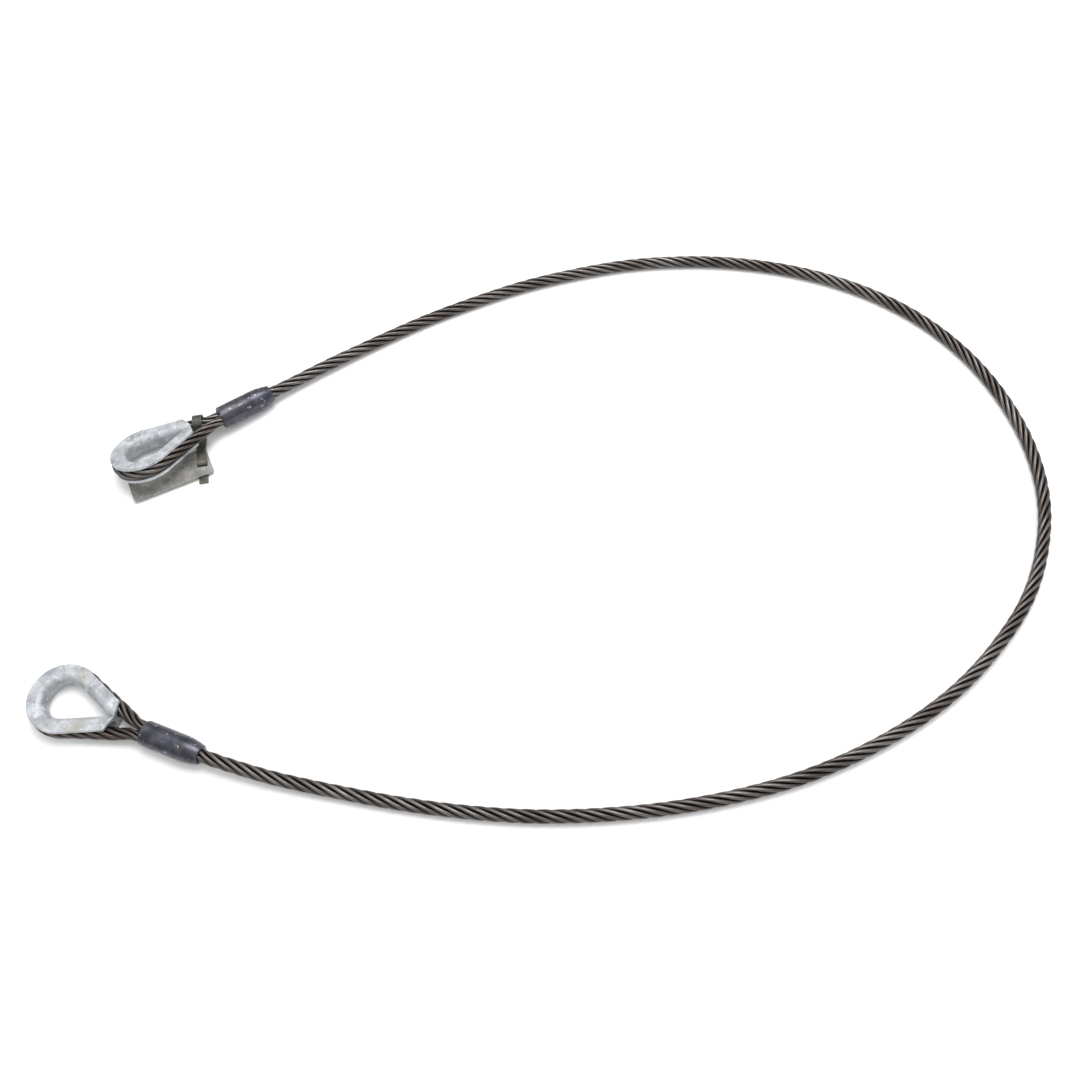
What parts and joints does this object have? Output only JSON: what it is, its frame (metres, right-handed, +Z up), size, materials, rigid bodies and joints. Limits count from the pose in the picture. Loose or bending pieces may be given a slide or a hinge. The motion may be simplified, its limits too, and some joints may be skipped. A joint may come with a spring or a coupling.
{
  "type": "wire rope sling with thimble eyes",
  "caption": "Wire rope sling with a thimble eye and a pressed sleeve at each end, lying in a loose loop, with a hanging metal tag.",
  "frame": {"origin": "centre of the near eye's crown, halfway up its thimble", "axes": "+X from the near eye's crown towards its sleeve, +Z up from the floor that the sling lies on, +Y across"},
  "size_m": [0.9703, 0.8244, 0.044],
  "materials": {
    "rope_steel": "greasy dark stranded steel wire",
    "thimble_zinc": "hot-dip zinc, mottled and lightly stained",
    "sleeve_steel": "dark oxidised pressed steel with worn rims",
    "band_steel": "dull grey strapping steel with bright edges",
    "plate_zinc": "zinc coated sheet, scuffed"
  },
  "bodies": {
    "sling": {"sling_rope": "rope_steel", "near_thimble": "thimble_zinc", "near_sleeve": "sleeve_steel", "near_splice_tails": "rope_steel", "near_eye_core": "rope_steel", "near_eye_strand_1": "rope_steel", "near_eye_strand_2": "rope_steel", "near_eye_strand_3": "rope_steel", "near_eye_strand_4": "rope_steel", "near_eye_strand_5": "rope_steel", "near_eye_strand_6": "rope_steel", "far_thimble": "thimble_zinc", "far_sleeve": "sleeve_steel", "far_splice_tails": "rope_steel", "far_eye_core": "rope_steel", "far_eye_strand_1": "rope_steel", "far_eye_strand_2": "rope_steel", "far_eye_strand_3": "rope_steel", "far_eye_strand_4": "rope_steel", "far_eye_strand_5": "rope_steel", "far_eye_strand_6": "rope_steel"},
    "band": {"tag_band": "band_steel"},
    "plate": {"tag_plate": "plate_zinc"}
  },
  "joints": [
    {"name": "tag_band_swing", "type": "hinge", "parent": "sling", "child": "band", "pos_m": [-0.0402, 0.332, 0.0045], "axis": [0.8545, 0.5195, 0], "range_deg": [0, 60]},
    {"name": "tag_plate_swing", "type": "hinge", "parent": "band", "child": "plate", "pos_m": [-0.01475, 0.2901, -0.00615], "axis": [-0.8545, -0.5195, 0], "range_deg": [0, 20]}
  ]
}
